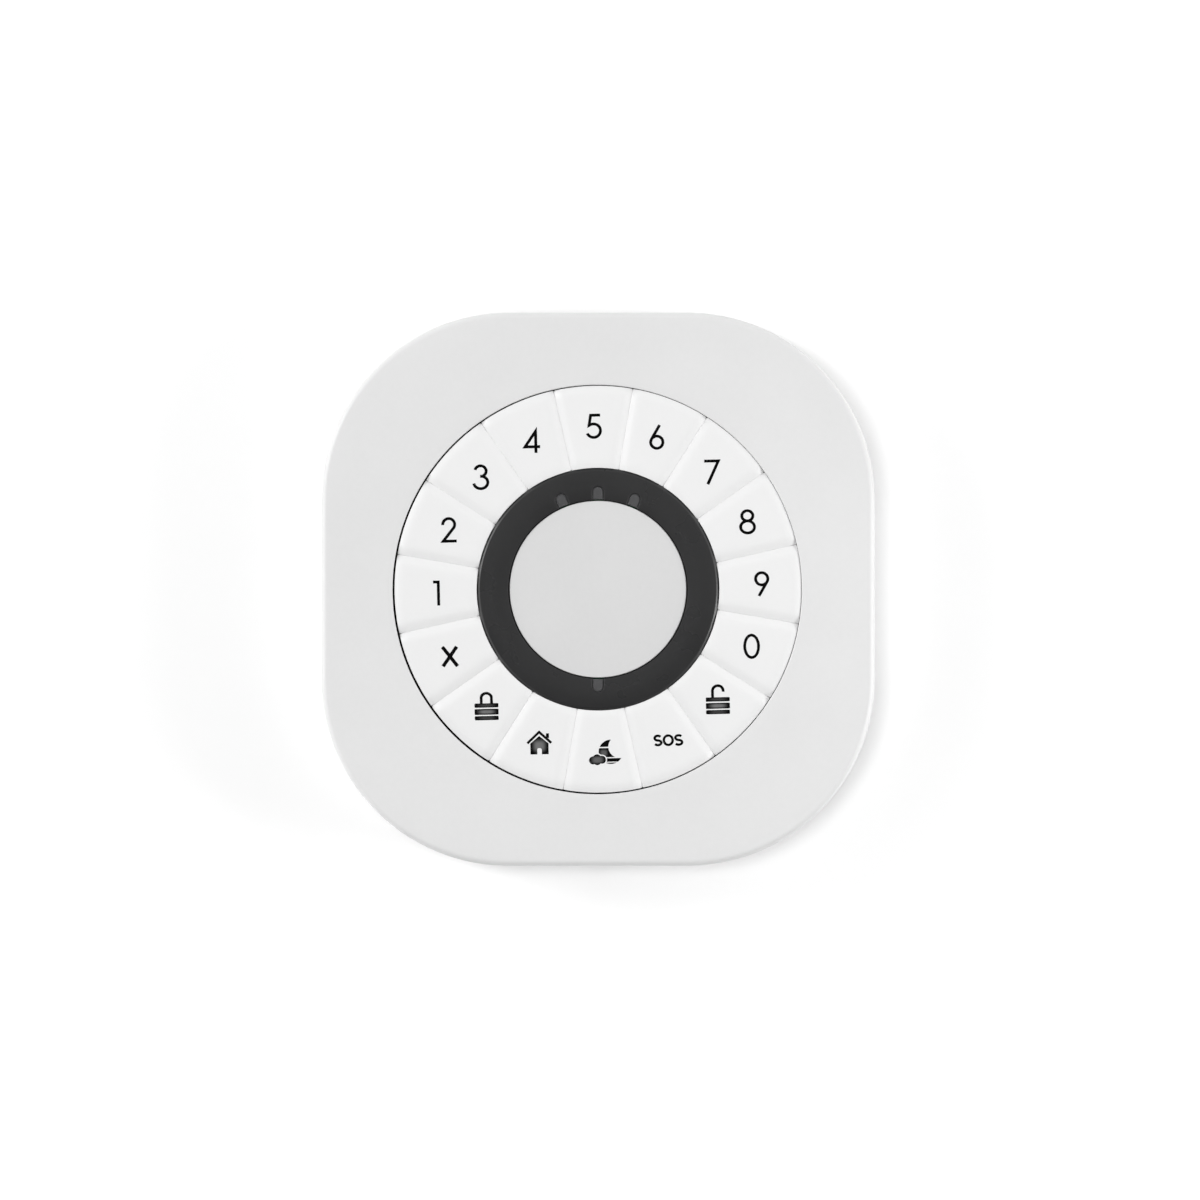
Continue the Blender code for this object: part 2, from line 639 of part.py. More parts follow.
def make_batteries():
    """Two cells lying head to tail, and the contacts at both ends of the bay."""
    half = CELL_LENGTH / 2
    profile = (
        (0.0, half + CELL_NUB), (CELL_NUB_R, half + CELL_NUB), (CELL_NUB_R, half),
        (CELL_R - 0.4, half), (CELL_R, half - 0.4), (CELL_R, -half + 0.4), (CELL_R - 0.4, -half),
        (0.0, -half),
    )
    cell = freeze(turned("cell", profile, 24, closed=False))
    spring = freeze(wire("spring", helix(1.6, 3.6, 0.0, 3.0, 2.5), 0.28))
    nub_gap = 0.2
    for name, side, y in (("upper", 1, CELL_PITCH / 2), ("lower", -1, -CELL_PITCH / 2)):
        # side is the end, +x or -x, that the cell's nub points to
        battery = add_object(f"battery_{name}", cell)
        nub_x = CONTACT_X[0] - nub_gap - half - CELL_NUB
        place(battery, side * nub_x, CELL_MIDDLE_Y + y, CELL_Z)
        battery.rotation_euler = (0.0, side * math.pi / 2, 0.0)
        coil = add_object(f"battery_spring_{name}", spring)
        flat_end = CONTACT_X[0] - nub_gap - 2 * half - CELL_NUB
        place(coil, side * (flat_end - 0.5), CELL_MIDDLE_Y + y, CELL_Z)
        coil.rotation_euler = (0.0, -side * math.pi / 2, 0.0)

    near, far = CONTACT_X
    low = CELL_MIDDLE_Y - BAY_HALF_HEIGHT + 0.8
    high = CELL_MIDDLE_Y + BAY_HALF_HEIGHT - 0.8
    middle = CELL_MIDDLE_Y
    prism("contact_bridge", box(-far, -near, low, high), 5.2, 15.2)
    prism("contact_positive", box(near, far, middle + 0.6, high), 5.2, 15.2)
    prism("contact_negative", box(near, far, low, middle - 0.6), 5.2, 15.2)


def make_tamper():
    """A sprung plunger that the wall holds in, below the switch on the board."""
    low, high = PLUNGER_COLLAR_Z
    stem_top = 13.0
    profile = (
        (0.0, stem_top), (1.1, stem_top), (1.1, high), (3.2, high), (3.2, low), (PLUNGER_R, low),
        (PLUNGER_R, 0.8), (PLUNGER_R - 0.7, 0.1), (0.0, 0.1),
    )
    place(turned("tamper_plunger", profile, 16, closed=False), TAMPER_X, 0.0)
    place(wire("tamper_spring", helix(2.1, 2.1, high + 0.4, stem_top + 0.1, 3.0), 0.25), TAMPER_X, 0.0)
    switch = box(TAMPER_X - 3.2, TAMPER_X + 3.2, -3.2, 3.2)
    prism("tamper_switch", switch, stem_top + 0.3, BOARD_Z[0] - 0.1)


def screw_mesh(name, head_r, head_low, head_high, shank_r, tip_z, recess=0.9):
    """A pan-head screw that points along +z, its head at the bottom with a cross recess cut into it."""
    slope = 0.35
    profile = (
        (0.0, tip_z), (shank_r * 0.4, tip_z), (shank_r, tip_z - 1.2), (shank_r, head_high),
        (head_r, head_high), (head_r, head_low + slope), (head_r - slope, head_low), (0.0, head_low),
    )
    screw = turned(name, profile, 12, closed=False)
    long, thin = head_r * 0.62, head_r * 0.17
    cross = [
        (long, -thin), (long, thin), (thin, thin), (thin, long), (-thin, long), (-thin, thin),
        (-long, thin), (-long, -thin), (-thin, -thin), (-thin, -long), (thin, -long), (thin, -thin),
    ]
    cut(screw, prism(f"{name}_recess", cross, head_low - 1.0, head_low + recess, TOOLS))
    return freeze(screw)


def make_screws():
    housing = screw_mesh("housing_screw", SCREW_HEAD_R, 2.7, 4.4, SCREW_R, 15.0)
    sides = {"upper_left": (-1, 1), "upper_right": (1, 1), "lower_left": (-1, -1), "lower_right": (1, -1)}
    for name, (x, y) in sides.items():
        place(add_object(f"housing_screw_{name}", housing), x * SCREW_AT, y * SCREW_AT)
    hub = screw_mesh("hub_screw", 1.9, 15.7, 17.0, 0.8, 20.6, 0.6)
    for number, degrees in enumerate(HUB_SCREW_ANGLES, 1):
        place(add_object(f"hub_screw_{number}", hub), *polar(HUB_SCREW_AT_R, degrees))
    edge = -REAR_SIDE / 2
    lock = add_object("lock_screw", screw_mesh("lock_screw", 2.0, 0.0, 1.5, 1.15, 15.6))
    place(lock, 0.0, edge + 0.2, LOCK_SCREW_Z)
    lock.rotation_euler = (-math.pi / 2, 0.0, 0.0)


def main():
    clear_scene()
    new_collection(PARTS)
    new_collection(TOOLS)
    frame = bpy.data.objects.new("keypad_frame", None)
    bpy.context.scene.collection.objects.link(frame)
    frame.rotation_euler = (math.pi / 2, 0.0, 0.0)

    make_front_housing()
    make_rear_housing()
    make_battery_cover()
    make_wall_bracket()
    make_keys()
    make_key_membrane()
    make_hub()
    make_indicators()
    make_main_board()
    make_batteries()
    make_tamper()
    make_screws()

    white = material("white_plastic", (0.78, 0.78, 0.78), 0.45)
    steel = material("steel", (0.6, 0.6, 0.6), 0.3, 1.0)
    paint(
        {
            "key_membrane": material("silicone", (0.72, 0.72, 0.7), 0.7),
            "key_": material("key_plastic", (0.86, 0.86, 0.86), 0.4),
            "indicator_ring": material("smoked_plastic", (0.035, 0.035, 0.037), 0.25),
            "light_pipe": material("light_pipe", (0.12, 0.12, 0.125), 0.3),
            "led": material("led", (0.9, 0.9, 0.75), 0.3),
            "reader_cover": material("grey_plastic", (0.68, 0.68, 0.68), 0.5),
            "reader_coil": material("copper", (0.72, 0.38, 0.2), 0.35, 1.0),
            "main_board": material("circuit_board", (0.02, 0.2, 0.08), 0.4),
            "controller_chip": material("black_plastic", (0.02, 0.02, 0.02), 0.5),
            "buzzer": material("buzzer_plastic", (0.02, 0.02, 0.02), 0.5),
            "tamper_switch": material("switch_plastic", (0.02, 0.02, 0.02), 0.5),
            "battery_upper": material("cell_jacket", (0.1, 0.1, 0.12), 0.3),
            "battery_lower": material("cell_jacket_lower", (0.1, 0.1, 0.12), 0.3),
            "battery_spring": steel,
            "tamper_spring": steel,
            "contact_": steel,
            "antenna": steel,
            "radio_module": steel,
            "housing_screw": steel,
            "hub_screw": steel,
            "lock_screw": steel,
            "": white,
        }
    )


main()
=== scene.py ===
"""The looks of the alarm keypad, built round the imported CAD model.

Shapes are drawn in millimetres in the panel's own frame: x to the right, y up the wall and z out of the
wall, with the origin on the dial's axis. point() turns that into the row frame, where the front faces -Y.
"""

import math

import bmesh
import bpy
from mathutils import Matrix, Vector


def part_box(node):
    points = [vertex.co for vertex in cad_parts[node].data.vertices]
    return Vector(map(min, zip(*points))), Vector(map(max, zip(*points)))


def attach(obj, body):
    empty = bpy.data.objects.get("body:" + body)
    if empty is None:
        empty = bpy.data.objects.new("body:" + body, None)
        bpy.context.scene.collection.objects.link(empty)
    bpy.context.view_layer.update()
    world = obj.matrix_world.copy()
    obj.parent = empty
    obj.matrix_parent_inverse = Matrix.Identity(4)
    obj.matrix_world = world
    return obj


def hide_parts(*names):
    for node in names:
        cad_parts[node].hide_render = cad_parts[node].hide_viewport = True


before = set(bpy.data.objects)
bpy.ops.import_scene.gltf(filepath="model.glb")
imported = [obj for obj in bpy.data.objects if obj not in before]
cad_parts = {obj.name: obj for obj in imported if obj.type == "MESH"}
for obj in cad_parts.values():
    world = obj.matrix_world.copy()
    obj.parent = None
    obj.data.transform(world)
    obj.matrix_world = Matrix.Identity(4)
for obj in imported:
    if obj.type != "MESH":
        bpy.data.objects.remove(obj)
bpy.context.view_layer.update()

MM = 0.001


def point(x, y, z):
    return Vector((x, -z, y)) * MM


def extent(node):
    """A CAD node's box in the panel's frame: (left, bottom, back), (right, top, front)."""
    low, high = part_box(node)
    return Vector((low.x, low.z, -high.y)) / MM, Vector((high.x, high.z, -low.y)) / MM


# Sizes that the CAD model sets
HOUSING_LOW, HOUSING_HIGH = extent("front_housing")
RING_LOW, RING_HIGH = extent("indicator_ring")
COVER_LOW, COVER_HIGH = extent("reader_cover")
KEY_TOP_Z = extent("key_5")[1].z
SIDE = HOUSING_HIGH.x - HOUSING_LOW.x
FRONT_Z = HOUSING_HIGH.z
RING_R = RING_HIGH.x
COVER_R = COVER_HIGH.x

# Housing. The dial opening stands a little to the left of the keys, so its gap is widest there.
CORNER_R = 42.2
FRONT_EDGE_R = 1.4
BACK_EDGE_R = 0.35
SIDE_WALL = 2.2
FRONT_WALL = 2.0
OPENING_R = 46.23
OPENING_CENTRE = (-0.19, -0.085)
OPENING_EDGE_R = 0.25
AROUND = 192

# The near-black ring under the gap round the keys: painted shade that makes the gap look dark
SHADE_RING_DEPTH = 0.1
SHADE_RING_THICK = 1.0
SHADE_RING_REACH = 1.5

# Keys, counter-clockwise from the top of the dial. The key ring sits turned a little anticlockwise.
KEY_NAMES = (
    "key_5", "key_4", "key_3", "key_2", "key_1", "key_cancel", "key_arm_away", "key_arm_home",
    "key_arm_night", "key_sos", "key_disarm", "key_0", "key_9", "key_8", "key_7", "key_6",
)
KEY_PITCH = 2 * math.pi / len(KEY_NAMES)
KEY_RING_TURN = math.radians(1.4)
KEY_OUTER_R = 45.95
KEY_INNER_R = 27.42
KEY_INNER_Z = KEY_TOP_Z + 0.1
KEY_LEAN = math.radians(1.6)
KEY_SEAM = 0.01
KEY_CLEARANCE = 0.03
KEY_SKIRT_Z = 22.0
# Half the width of the soft valley between two keys, its depth and the roundness of its floor, and the
# same for the fine groove in it
SEAM_WIDTH = 2.4
SEAM_DEPTH = 0.88
SEAM_FLOOR = 0.4
GROOVE_WIDTH = 0.35
GROOVE_DEPTH = 0.1
# The roll of a key's outer and inner rims, and the rounding of its corners in plan
RIM_WIDTH = 2.2
RIM_DEPTH = 0.5
INNER_WIDTH = 2.0
INNER_DEPTH = 0.25
CORNER_CUT = 0.3
# The share of a key's depth and width, at either end, where its mesh is dense
DENSE_ROWS = 0.18
DENSE_COLUMNS = 0.16
MIDDLE_STEPS = 8

# How far the smoked ring's ledge and inner wall stand off the CAD cover's rim, and how much larger than in
# the CAD the ring and the cover are drawn
LEDGE_GAP = 0.27
RING_INNER_GAP = 0.5
RING_GROWTH = 0.03
COVER_GROWTH = 0.19
COVER_EDGE_R = 0.15

# The small windows in the ring: U-shaped, with a slightly larger slot that flares at the top
WINDOW_END_R = 23.1
WINDOW_HALF = 1.2
WINDOW_STEPS = 16
WINDOW_SINK = 0.03
WINDOW_EDGE_R = 0.2
SLOT_GROWTH = 0.05
SLOT_FLARE = 0.55

# Printed legends
LEGEND_R = 36.8
INK_THICK = 0.02
INK_LIFT = 0.002
STROKE = 0.65
# How far each legend stands off the middle of its key, to the right and up
LEGEND_SHIFTS = {
    "0": (0.35, 0.35), "1": (0.45, 0.0), "2": (0.65, 0.1), "3": (0.2, -0.1), "4": (0.0, -0.3),
    "7": (0.35, -0.2), "8": (0.1, 0.3), "9": (0.2, 0.3), "cancel": (0.2, -0.3), "sos": (0.95, -0.45),
    "arm_away": (0.2, 0.0), "arm_home": (0.0, -0.3), "arm_night": (0.75, -0.2), "disarm": (0.4, 0.1),
}

# Light that comes from all round: its strength from the front and from either side, how much stronger it
# is from the left than from the right, and how much weaker from behind the wall
FRONT_GLOW = 0.02
SIDE_GLOW = 1.6
LEFT_BIAS = 0.25
BACK_DIM = 0.5
# What height adds to it, and the lowest height that still counts
TOP_GLOW = 0.45
LOWEST_RISE = -0.3
# How bright the surroundings look to the camera where the wall does not fill the view
BACKDROP = 0.84

# The wall, in millimetres: how far it reaches each way and how far behind the panel it stands
WALL_REACH = 2500.0
WALL_GAP = 0.3

# The camera, in metres: its distance, the width it sees at the front face and the middle of its view
CAMERA_DISTANCE = 1.8
VIEW_WIDTH = 0.271
VIEW_MIDDLE = (0.00045, -0.00244)


# Materials


def add_node(tree, kind, **values):
    """A shader node with some of its inputs set or linked. An underscore in a name stands for a space."""
    node = tree.nodes.new(kind)
    for name, value in values.items():
        socket = node.inputs[name.replace("_", " ")]
        if isinstance(value, bpy.types.NodeSocket):
            tree.links.new(value, socket)
        else:
            socket.default_value = value
    return node


def calculate(tree, operation, *values):
    """The output of a math node fed by sockets or numbers."""
    node = tree.nodes.new("ShaderNodeMath")
    node.operation = operation
    for socket, value in zip(node.inputs, values):
        if isinstance(value, bpy.types.NodeSocket):
            tree.links.new(value, socket)
        else:
            socket.default_value = value
    return node.outputs[0]


def noise(tree, places, scale, detail=3.0, roughness=0.5):
    """Noise between 0 and 1, mostly between 0.3 and 0.7."""
    node = add_node(
        tree, "ShaderNodeTexNoise", Vector=places, Scale=scale, Detail=detail, Roughness=roughness
    )
    return node.outputs["Fac"]


def remap(tree, value, low, high, source=(0.3, 0.7), smooth=False):
    """Takes a value from the source range to low and high, and holds it there."""
    node = add_node(tree, "ShaderNodeMapRange", Value=value)
    if smooth:
        node.interpolation_type = "SMOOTHSTEP"
    node.inputs["From Min"].default_value = source[0]
    node.inputs["From Max"].default_value = source[1]
    node.inputs["To Min"].default_value = low
    node.inputs["To Max"].default_value = high
    return node.outputs["Result"]


def scaled_colour(tree, colour, factor):
    """A colour, or the socket that gives one, times a factor that a texture gives."""
    node = tree.nodes.new("ShaderNodeVectorMath")
    node.operation = "SCALE"
    if isinstance(colour, bpy.types.NodeSocket):
        tree.links.new(colour, node.inputs[0])
    else:
        node.inputs[0].default_value = colour
    tree.links.new(factor, node.inputs["Scale"])
    return node.outputs["Vector"]


def moulded(name, colour, roughness, grain, depth, tone=0.02, gloss=0.06, **surface):
    """Moulded plastic: a fine spark-eroded grain, patchy gloss and a slight drift of tone.

    grain is the size of one grain in metres and depth its height. tone and gloss say how much colour and
    roughness vary. surface sets other shader inputs.
    """
    material = bpy.data.materials.new(name)
    material.use_nodes = True
    tree = material.node_tree
    shader = tree.nodes["Principled BSDF"]
    places = tree.nodes.new("ShaderNodeTexCoord").outputs["Object"]

    drift = noise(tree, places, 22.0)
    specks = noise(tree, places, 900.0, 2.0)
    drift_factor = remap(tree, drift, 1.0 - tone, 1.0 + tone)
    speck_factor = remap(tree, specks, 1.0 - tone / 3, 1.0 + tone / 3)
    factor = calculate(tree, "MULTIPLY", drift_factor, speck_factor)
    tree.links.new(scaled_colour(tree, colour, factor), shader.inputs["Base Color"])

    patches = noise(tree, places, 140.0)
    tree.links.new(remap(tree, patches, roughness - gloss, roughness + gloss), shader.inputs["Roughness"])

    grains = noise(tree, places, 1.0 / grain, 4.0, 0.6)
    bump = add_node(tree, "ShaderNodeBump", Strength=1.0, Distance=depth, Height=grains)
    tree.links.new(bump.outputs["Normal"], shader.inputs["Normal"])
    for key, value in surface.items():
        shader.inputs[key.replace("_", " ")].default_value = value
    return material


def metal(name, colour, roughness, streak_scale):
    """Rolled or drawn metal: fine streaks in its gloss and a slight drift of tone."""
    material = moulded(name, colour, roughness, 0.0004, 0.000004, 0.05, 0.08, Metallic=1.0)
    tree = material.node_tree
    shader = tree.nodes["Principled BSDF"]
    stretch = tree.nodes.new("ShaderNodeMapping")
    stretch.inputs["Scale"].default_value = (1.0, 12.0, 12.0)
    tree.links.new(tree.nodes["Texture Coordinate"].outputs["Object"], stretch.inputs["Vector"])
    streaks = noise(tree, stretch.outputs["Vector"], streak_scale)
    tree.links.new(remap(tree, streaks, roughness - 0.1, roughness + 0.12), shader.inputs["Roughness"])
    return material


WHITE = moulded("white_abs", (0.706, 0.706, 0.706), 0.38, 0.00032, 0.000012)
KEY_WHITE = moulded("key_silicone", (0.773, 0.773, 0.773), 0.42, 0.0005, 0.000006, 0.01)
DISC_GREY = moulded("reader_grey", (0.622, 0.622, 0.622), 0.55, 0.00028, 0.000012)
SMOKED = moulded(
    "smoked_ring", (0.03, 0.03, 0.0305), 0.3, 0.0006, 0.000005, 0.08, Specular_IOR_Level=0.42
)
WINDOW = moulded("smoked_window", (0.073, 0.073, 0.075), 0.22, 0.0005, 0.000004, 0.08, IOR=1.5)
INK = moulded("legend_ink", (0.002, 0.002, 0.002), 0.8, 0.0002, 0.000004, 0.15, Specular_IOR_Level=0.05)
BRACKET_WHITE = moulded("bracket_abs", (0.7, 0.7, 0.69), 0.55, 0.0004, 0.000016)
# Near-black paint for the ring under the key gap: painted shade for the dark depth of the gap
GAP_PAINTED_SHADE = moulded("gap_shade", (0.006, 0.006, 0.006), 0.9, 0.0004, 0.00001, Specular_IOR_Level=0.1)
STEEL = metal("plated_steel", (0.62, 0.62, 0.6), 0.3, 600.0)
COPPER = metal("enamelled_copper", (0.6, 0.27, 0.12), 0.35, 900.0)
BOARD_GREEN = moulded("solder_resist", (0.012, 0.09, 0.035), 0.35, 0.0008, 0.00002, 0.2)
BLACK = moulded("black_moulding", (0.02, 0.02, 0.021), 0.5, 0.0003, 0.00001, 0.1)
SILICONE = moulded("membrane_silicone", (0.62, 0.62, 0.6), 0.65, 0.0005, 0.00001)
CELL_JACKET = moulded("cell_jacket", (0.035, 0.05, 0.09), 0.28, 0.002, 0.000004, 0.1)
LED_CLEAR = moulded("led_moulding", (0.75, 0.75, 0.55), 0.25, 0.0004, 0.000004)


# Objects and meshes


def new_object(name, data):
    obj = bpy.data.objects.new(name, data)
    bpy.context.scene.collection.objects.link(obj)
    return obj


def object_from(name, bm):
    """A plain object with the mesh that bm holds."""
    mesh = bpy.data.meshes.new(name)
    bm.to_mesh(mesh)
    bm.free()
    return new_object(name, mesh)


def smooth(mesh, sharp):
    """Shades a mesh smooth, apart from edges over so many degrees."""
    mesh.shade_smooth()
    mesh.set_sharp_from_angle(angle=math.radians(sharp))


def settle(obj, body, material, replaced=(), sharp=40.0):
    """Gives an object its material and body, and lets it stand for the CAD nodes it replaces."""
    obj.data.materials.clear()
    obj.data.materials.append(material)
    smooth(obj.data, sharp)
    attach(obj, body)
    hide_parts(*replaced)


def loft(bm, rings, wrap=False, first_cap=False, last_cap=False):
    """Quads between closed rings of (x, y, z) points, all of one length."""
    made = [[bm.verts.new(point(*place)) for place in ring] for ring in rings]
    pairs = list(zip(made, made[1:]))
    if wrap:
        pairs.append((made[-1], made[0]))
    count = len(made[0])
    for near, far in pairs:
        for here in range(count):
            after = (here + 1) % count
            bm.faces.new((near[here], near[after], far[after], far[here]))
    if first_cap:
        bm.faces.new(made[0])
    if last_cap:
        bm.faces.new(made[-1])


def finish_piece(name, bm, body, material, replaced=()):
    """Makes a settled object of the mesh, its faces pointing out."""
    bmesh.ops.recalc_face_normals(bm, faces=bm.faces)
    piece = object_from(name, bm)
    settle(piece, body, material, replaced)
    return piece


def square_reach(angle, half, corner):
    """How far a rounded square reaches from its centre in one direction."""
    across, up = abs(math.cos(angle)), abs(math.sin(angle))
    if across < up:
        across, up = up, across
    centre = half - corner
    if up / across <= centre / half:
        return half / across
    return centre * (across + up) + math.sqrt(corner**2 - (centre * (across - up)) ** 2)


def square_ring(inset, z):
    """The housing's outline, drawn in by inset, as points at even angles."""
    ring = []
    for step in range(AROUND):
        angle = 2 * math.pi * step / AROUND
        reach = square_reach(angle, SIDE / 2 - inset, CORNER_R - inset)
        ring.append((reach * math.cos(angle), reach * math.sin(angle), z))
    return ring


def round_ring(radius, z, centre=(0.0, 0.0)):
    ring = []
    for step in range(AROUND):
        angle = 2 * math.pi * step / AROUND
        ring.append((centre[0] + radius * math.cos(angle), centre[1] + radius * math.sin(angle), z))
    return ring


def mixed_ring(one, other, share):
    """A ring that lies between two others: share 0 is the one and share 1 the other."""
    return [tuple(a + (b - a) * share for a, b in zip(p, q)) for p, q in zip(one, other)]


def quarter(radius, steps):
    """(inset, drop) pairs of a rounded edge, from the top face to the side."""
    pairs = []
    for step in range(steps + 1):
        angle = math.pi / 2 * step / steps
        pairs.append((radius * (1 - math.sin(angle)), radius * (1 - math.cos(angle))))
    return pairs


def turned(name, profile, material, replaced=()):
    """A piece of the panel: a profile of (radius, z) turned about the dial's axis.

    One that starts and ends on the axis is closed by its end faces, any other runs round to its start.
    """
    bm = bmesh.new()
    capped = profile[0][0] == 0.0
    rings = [round_ring(radius, z) for radius, z in profile if radius > 0.0]
    loft(bm, rings, wrap=not capped, first_cap=capped, last_cap=capped)
    return finish_piece(name, bm, "panel", material, replaced)


# The front


def make_front_shell():
    """One closed ring-shaped shell, with rounded front and opening edges."""
    under = FRONT_Z - FRONT_WALL
    rings = [round_ring(OPENING_R, under, OPENING_CENTRE)]
    for inset, drop in reversed(quarter(OPENING_EDGE_R, 5)):
        rings.append(round_ring(OPENING_R + inset, FRONT_Z - drop, OPENING_CENTRE))
    face_inner = rings[-1]
    face_outer = square_ring(FRONT_EDGE_R, FRONT_Z)
    for share in (0.1, 0.4, 0.8):
        rings.append(mixed_ring(face_inner, face_outer, share))
    for inset, drop in quarter(FRONT_EDGE_R, 8):
        rings.append(square_ring(inset, FRONT_Z - drop))
    bottom = HOUSING_LOW.z
    side_top = FRONT_Z - FRONT_EDGE_R
    for share in (0.3, 0.7):
        rings.append(square_ring(0.0, side_top + (bottom - side_top) * share))
    for inset, drop in reversed(quarter(BACK_EDGE_R, 3)):
        rings.append(square_ring(inset, bottom + drop))
    chamfer = 1.0
    rings.append(square_ring(SIDE_WALL, bottom))
    rings.append(square_ring(SIDE_WALL, under - chamfer))
    rings.append(square_ring(SIDE_WALL + chamfer, under))
    bm = bmesh.new()
    loft(bm, rings, wrap=True)
    finish_piece("front_shell", bm, "panel", WHITE, ["front_housing"])


def make_gap_shade_ring():
    """A near-black ring under the key gap, just clear of the keys: painted shade that darkens the gap."""
    top = FRONT_Z - FRONT_WALL - SHADE_RING_DEPTH
    inner = KEY_OUTER_R + KEY_CLEARANCE
    outer = OPENING_R + SHADE_RING_REACH
    profile = ((outer, top), (outer, top - SHADE_RING_THICK), (inner, top - SHADE_RING_THICK), (inner, top))
    turned("key_gap_painted_shade", profile, GAP_PAINTED_SHADE)


def eased(distance, width):
    """1 at an edge and 0 from width inwards, level at its inner end."""
    if distance >= width:
        return 0.0
    return (1.0 - distance / width) ** 2


def spread(dense):
    """Shares from 0 to 1, close together within the dense part at either end."""
    near = [dense * share for share in (0.0, 0.02, 0.05, 0.1, 0.17, 0.26, 0.37, 0.5, 0.65, 0.8, 1.0)]
    far = [1.0 - share for share in reversed(near)]
    inner = [near[-1] + (far[0] - near[-1]) * step / MIDDLE_STEPS for step in range(1, MIDDLE_STEPS)]
    return near + inner + far


def key_height(radius):
    """The keys lean outwards a little, so their ring is a very shallow cone."""
    return KEY_INNER_Z - (radius - KEY_INNER_R) * math.tan(KEY_LEAN)


def key_mesh():
    """A key's cap as a grid of rows from the ring to the rim, its top rolled down at every edge."""
    depth = KEY_OUTER_R - KEY_INNER_R
    rows = []
    for row_share in spread(DENSE_ROWS):
        row = []
        for column_share in spread(DENSE_COLUMNS):
            radius = KEY_INNER_R + depth * row_share
            reach = KEY_PITCH / 2 - KEY_SEAM / 2 / radius
            angle = reach * (2 * column_share - 1)
            side_gap = radius * (reach - abs(angle))
            corner = 0.0
            if side_gap < CORNER_CUT:
                corner = CORNER_CUT - math.sqrt(CORNER_CUT**2 - (CORNER_CUT - side_gap) ** 2)
            radius += corner * (1.0 - 2.0 * row_share)
            drop = SEAM_DEPTH * eased(math.hypot(side_gap, SEAM_FLOOR), SEAM_WIDTH)
            drop += GROOVE_DEPTH * eased(side_gap, GROOVE_WIDTH)
            drop += RIM_DEPTH * eased(depth * (1.0 - row_share), RIM_WIDTH)
            drop += INNER_DEPTH * eased(depth * row_share, INNER_WIDTH)
            row.append((radius * math.cos(angle), radius * math.sin(angle), key_height(radius) - drop))
        rows.append(row)

    bm = bmesh.new()
    grid = [[bm.verts.new(point(*place)) for place in row] for row in rows]
    for near, far in zip(grid, grid[1:]):
        for column in range(len(near) - 1):
            bm.faces.new((near[column], near[column + 1], far[column + 1], far[column]))
    rim = grid[0] + [row[-1] for row in grid[1:]] + grid[-1][-2::-1] + [row[0] for row in grid[-2:0:-1]]
    skirt = []
    for corner in rim:
        skirt.append(bm.verts.new((corner.co.x, -KEY_SKIRT_Z * MM, corner.co.z)))
    for here, corner in enumerate(rim):
        after = (here + 1) % len(rim)
        bm.faces.new((corner, rim[after], skirt[after], skirt[here]))
    bm.faces.new(skirt)
    bmesh.ops.recalc_face_normals(bm, faces=bm.faces)
    mesh = bpy.data.meshes.new("key_cap")
    bm.to_mesh(mesh)
    bm.free()
    return mesh


def key_angle(number):
    return math.pi / 2 + KEY_RING_TURN + number * KEY_PITCH


def make_keys():
    """All keys share one mesh, drawn about the x axis and turned into its place."""
    mesh = key_mesh()
    for number, name in enumerate(KEY_NAMES):
        cap = new_object(name.replace("key_", "cap_"), mesh)
        settle(cap, name, KEY_WHITE, [name], 60.0)
        cap.rotation_euler = (0.0, -key_angle(number), 0.0)


def make_ring():
    """The smoked ring, its four window slots and the light pipes that fill them."""
    top = RING_HIGH.z
    ledge = COVER_R + LEDGE_GAP
    inner = COVER_R + RING_INNER_GAP
    outer = RING_R + RING_GROWTH
    profile = [
        (ledge, RING_LOW.z), (ledge, top - 1.2), (inner, top - 1.1), (inner, top - 0.16),
        (inner + 0.05, top - 0.05), (inner + 0.2, top), (outer - 0.72, top), (outer - 0.6, top - 0.04),
        (outer - 0.08, top - 0.42), (outer, top - 0.52), (outer, RING_LOW.z),
    ]
    ring = turned("ring", profile, SMOKED, ["indicator_ring"])
    for side in ("top", "left", "right", "bottom"):
        node = f"light_pipe_{side}"
        low, high = extent(node)
        middle = (low + high) / 2
        angle = math.atan2(middle.y, middle.x)
        levels = ((SLOT_GROWTH, RING_LOW.z - 1.0), (SLOT_GROWTH, top - 0.2), (SLOT_FLARE, top + 0.3))
        cutter = window_piece(f"{node}_slot", angle, levels, ledge - 1.0)
        combine(ring, "DIFFERENCE", cutter)
        level = top - WINDOW_SINK
        window = window_piece(f"window_{side}", angle, ((0.0, RING_LOW.z), (0.0, level)), inner + 0.02)
        round_rim(window, level, WINDOW_EDGE_R)
        settle(window, "panel", WINDOW, [node])
    apply_modifiers(ring)


def window_piece(name, angle, levels, start):
    """A U-shaped plug along one direction of the dial, as a plain object. levels are (growth, z) pairs."""
    end = WINDOW_END_R - WINDOW_HALF
    rings = []
    for grow, z in levels:
        half = WINDOW_HALF + grow
        outline = [(start, -half)]
        for step in range(WINDOW_STEPS + 1):
            turn = -math.pi / 2 + math.pi * step / WINDOW_STEPS
            outline.append((end + half * math.cos(turn), half * math.sin(turn)))
        outline.append((start, half))
        rings.append([(*rotate(place, angle), z) for place in outline])
    return lofted(name, rings)


def rotate(place, angle):
    x, y = place
    across = x * math.cos(angle) - y * math.sin(angle)
    up = x * math.sin(angle) + y * math.cos(angle)
    return across, up


def prism(name, outline, low, high):
    """A plain object with one outline from a low to a high level."""
    return lofted(name, [[(x, y, low) for x, y in outline], [(x, y, high) for x, y in outline]])


def lofted(name, rings):
    """A plain object through rings of points, closed at both ends."""
    bm = bmesh.new()
    loft(bm, rings, first_cap=True, last_cap=True)
    bmesh.ops.recalc_face_normals(bm, faces=bm.faces)
    return object_from(name, bm)


